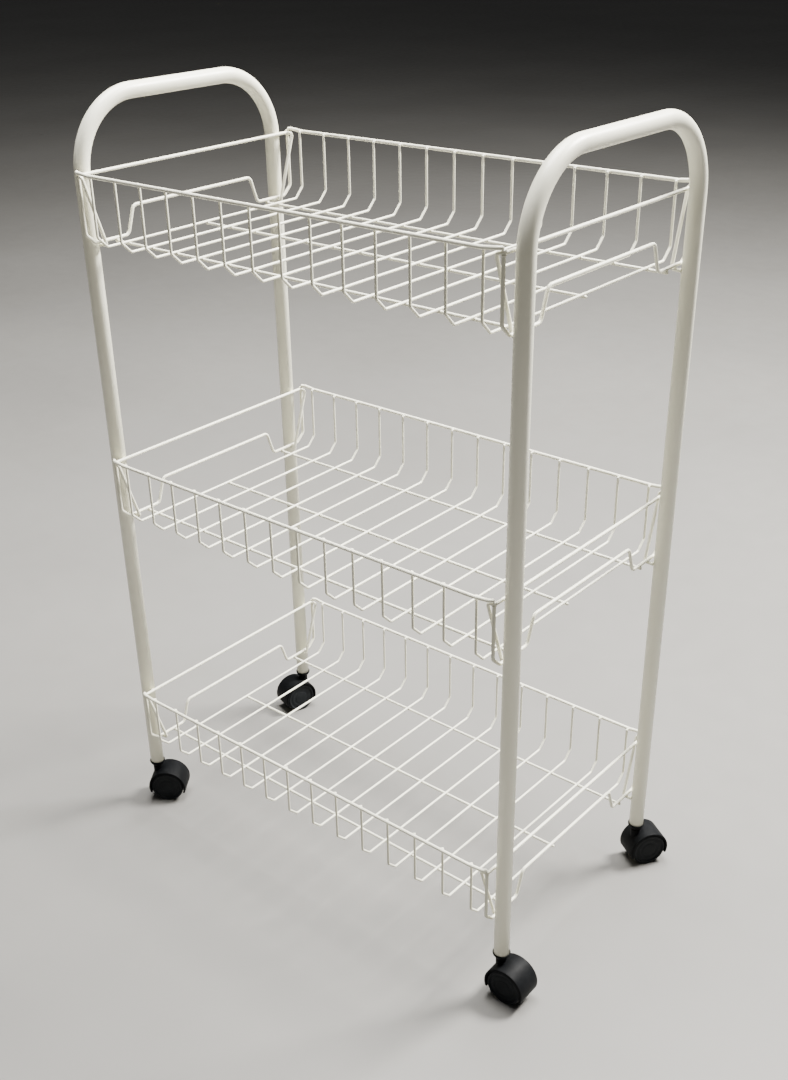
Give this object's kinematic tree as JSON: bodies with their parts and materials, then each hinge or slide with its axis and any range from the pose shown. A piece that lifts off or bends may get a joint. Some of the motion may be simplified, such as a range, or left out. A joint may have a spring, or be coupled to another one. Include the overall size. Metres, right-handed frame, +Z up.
{
  "type": "rolling pantry cart",
  "caption": "Narrow wire-basket pantry cart with bent-tube side frames whose arches are the handles, on swivelling twin-wheel casters.",
  "frame": {"origin": "on the floor, midway between the four swivel axes, under the middle of the baskets", "axes": "+Z up; +X along the long side, to the right as seen from the front; +Y from the front to the back"},
  "size_m": [0.5831, 0.3194, 0.8299],
  "materials": {
    "white_powder_coat": "satin white powder coat over steel",
    "black_plastic": "moulded black plastic with a soft sheen",
    "wheel_plastic": "moulded black wheel plastic",
    "plain_steel": "plain turned steel"
  },
  "bodies": {
    "cart": {"side_frame_left": "white_powder_coat", "side_frame_right": "white_powder_coat", "top_basket_grid": "white_powder_coat", "top_basket_rim_front": "white_powder_coat", "top_basket_rim_back": "white_powder_coat", "top_basket_hanger_left": "white_powder_coat", "top_basket_end_wire_left": "white_powder_coat", "top_basket_hanger_right": "white_powder_coat", "top_basket_end_wire_right": "white_powder_coat", "middle_basket_grid": "white_powder_coat", "middle_basket_rim_front": "white_powder_coat", "middle_basket_rim_back": "white_powder_coat", "middle_basket_hanger_left": "white_powder_coat", "middle_basket_end_wire_left": "white_powder_coat", "middle_basket_hanger_right": "white_powder_coat", "middle_basket_end_wire_right": "white_powder_coat", "bottom_basket_grid": "white_powder_coat", "bottom_basket_rim_front": "white_powder_coat", "bottom_basket_rim_back": "white_powder_coat", "bottom_basket_hanger_left": "white_powder_coat", "bottom_basket_end_wire_left": "white_powder_coat", "bottom_basket_hanger_right": "white_powder_coat", "bottom_basket_end_wire_right": "white_powder_coat", "caster_front_right_socket": "black_plastic", "caster_front_left_socket": "black_plastic", "caster_back_right_socket": "black_plastic", "caster_back_left_socket": "black_plastic"},
    "swivel_front_right": {"caster_front_right_stem": "plain_steel", "caster_front_right_hood": "black_plastic", "caster_front_right_axle": "plain_steel"},
    "wheel_front_right_a": {"caster_front_right_wheel_a": "wheel_plastic"},
    "wheel_front_right_b": {"caster_front_right_wheel_b": "wheel_plastic"},
    "swivel_front_left": {"caster_front_left_stem": "plain_steel", "caster_front_left_hood": "black_plastic", "caster_front_left_axle": "plain_steel"},
    "wheel_front_left_a": {"caster_front_left_wheel_a": "wheel_plastic"},
    "wheel_front_left_b": {"caster_front_left_wheel_b": "wheel_plastic"},
    "swivel_back_right": {"caster_back_right_stem": "plain_steel", "caster_back_right_hood": "black_plastic", "caster_back_right_axle": "plain_steel"},
    "wheel_back_right_a": {"caster_back_right_wheel_a": "wheel_plastic"},
    "wheel_back_right_b": {"caster_back_right_wheel_b": "wheel_plastic"},
    "swivel_back_left": {"caster_back_left_stem": "plain_steel", "caster_back_left_hood": "black_plastic", "caster_back_left_axle": "plain_steel"},
    "wheel_back_left_a": {"caster_back_left_wheel_a": "wheel_plastic"},
    "wheel_back_left_b": {"caster_back_left_wheel_b": "wheel_plastic"}
  },
  "joints": [
    {"name": "front_right_swivel", "type": "hinge", "parent": "cart", "child": "swivel_front_right", "pos_m": [0.2616, -0.1317, 0.0515], "axis": [0, 0, 1], "continuous": true},
    {"name": "front_right_wheel_a_spin", "type": "hinge", "parent": "swivel_front_right", "child": "wheel_front_right_a", "pos_m": [0.2739, -0.13138, 0.0195], "axis": [-0.0262, 0.9997, 0], "continuous": true},
    {"name": "front_right_wheel_b_spin", "type": "hinge", "parent": "swivel_front_right", "child": "wheel_front_right_b", "pos_m": [0.2739, -0.13138, 0.0195], "axis": [-0.0262, 0.9997, 0], "continuous": true},
    {"name": "front_left_swivel", "type": "hinge", "parent": "cart", "child": "swivel_front_left", "pos_m": [-0.2616, -0.1317, 0.0515], "axis": [0, 0, 1], "continuous": true},
    {"name": "front_left_wheel_a_spin", "type": "hinge", "parent": "swivel_front_left", "child": "wheel_front_left_a", "pos_m": [-0.25165, -0.12447, 0.0195], "axis": [-0.5878, 0.809, 0], "continuous": true},
    {"name": "front_left_wheel_b_spin", "type": "hinge", "parent": "swivel_front_left", "child": "wheel_front_left_b", "pos_m": [-0.25165, -0.12447, 0.0195], "axis": [-0.5878, 0.809, 0], "continuous": true},
    {"name": "back_right_swivel", "type": "hinge", "parent": "cart", "child": "swivel_back_right", "pos_m": [0.2616, 0.1317, 0.0515], "axis": [0, 0, 1], "continuous": true},
    {"name": "back_right_wheel_a_spin", "type": "hinge", "parent": "swivel_back_right", "child": "wheel_back_right_a", "pos_m": [0.2683, 0.14202, 0.0195], "axis": [-0.8387, 0.5446, 0], "continuous": true},
    {"name": "back_right_wheel_b_spin", "type": "hinge", "parent": "swivel_back_right", "child": "wheel_back_right_b", "pos_m": [0.2683, 0.14202, 0.0195], "axis": [-0.8387, 0.5446, 0], "continuous": true},
    {"name": "back_left_swivel", "type": "hinge", "parent": "cart", "child": "swivel_back_left", "pos_m": [-0.2616, 0.1317, 0.0515], "axis": [0, 0, 1], "continuous": true},
    {"name": "back_left_wheel_a_spin", "type": "hinge", "parent": "swivel_back_left", "child": "wheel_back_left_a", "pos_m": [-0.26518, 0.11993, 0.0195], "axis": [0.9568, -0.2907, 0], "continuous": true},
    {"name": "back_left_wheel_b_spin", "type": "hinge", "parent": "swivel_back_left", "child": "wheel_back_left_b", "pos_m": [-0.26518, 0.11993, 0.0195], "axis": [0.9568, -0.2907, 0], "continuous": true}
  ]
}
